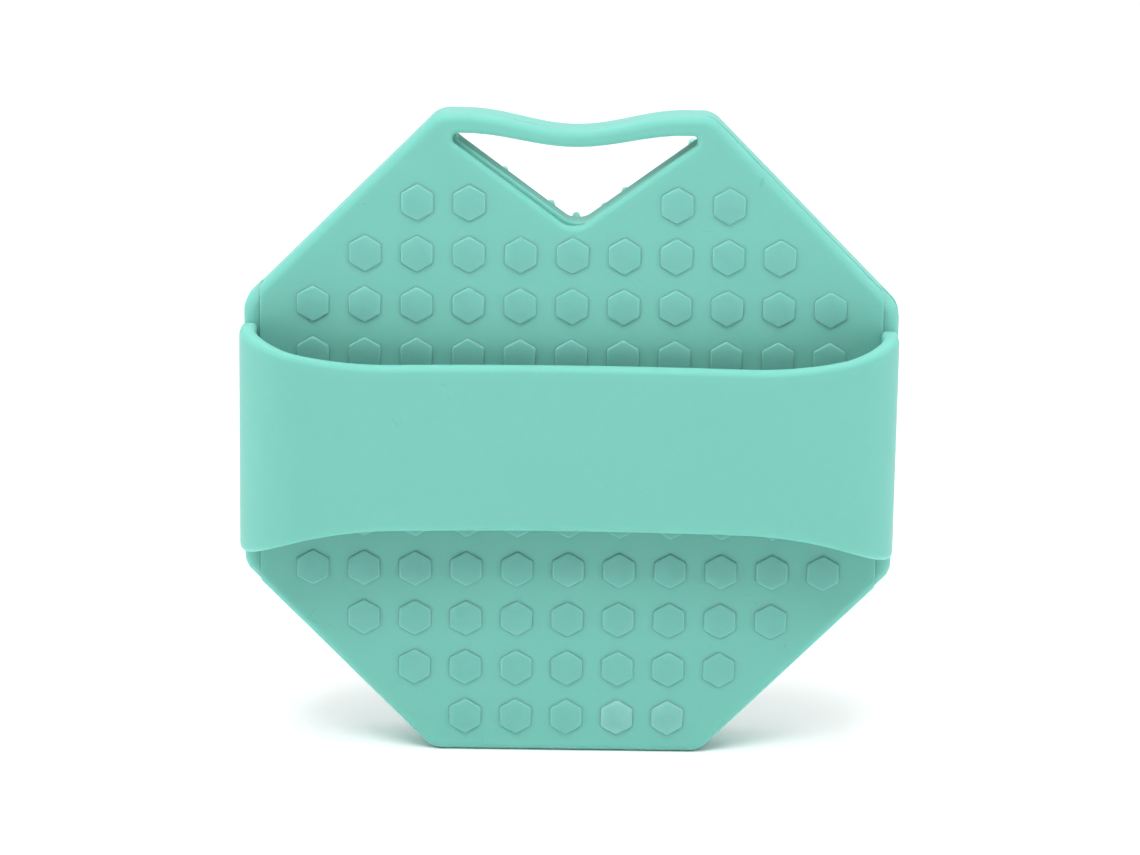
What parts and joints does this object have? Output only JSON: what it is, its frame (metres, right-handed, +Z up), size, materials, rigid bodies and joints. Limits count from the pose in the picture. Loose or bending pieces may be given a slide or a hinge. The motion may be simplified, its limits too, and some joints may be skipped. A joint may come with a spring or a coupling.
{
  "type": "silicone scrubber brush",
  "caption": "Octagonal silicone hand scrubber with a stretch hand strap, hexagonal grip studs, a triangular hanging opening and a mat of fine bristles.",
  "frame": {"origin": "on the surface that the scrubber stands on, under the middle of its depth and width", "axes": "+Z up towards the hanging opening, +X to the right seen from the strap side, -Y towards the hand strap, +Y towards the bristles"},
  "size_m": [0.12, 0.031, 0.12],
  "materials": {
    "silicone_pad": "satin moulded silicone, mint green",
    "silicone_studs": "satin moulded silicone, mint green, slightly worn tops",
    "silicone_bristles": "translucent soft silicone, mint green",
    "silicone_strap": "smooth satin silicone, mint green"
  },
  "bodies": {
    "pad": {"front_body": "silicone_pad", "back_plate": "silicone_pad", "grip_studs_upper": "silicone_studs", "grip_studs_middle": "silicone_studs", "grip_studs_lower": "silicone_studs", "bristles_upper": "silicone_bristles", "bristles_middle": "silicone_bristles", "bristles_lower": "silicone_bristles", "bristles_contact": "silicone_bristles", "strap_root_left": "silicone_strap", "strap_root_right": "silicone_strap", "strap_shoulder_left": "silicone_strap", "strap_shoulder_right": "silicone_strap"},
    "strap": {"strap_band": "silicone_strap"}
  },
  "joints": [
    {"name": "strap_flex", "type": "slide", "parent": "pad", "child": "strap", "axis": [0, -1, 0], "range_m": [-0.004, 0.012], "stiffness_N_per_m": 400, "deforming": ["strap_shoulder_left", "strap_shoulder_right"]}
  ]
}
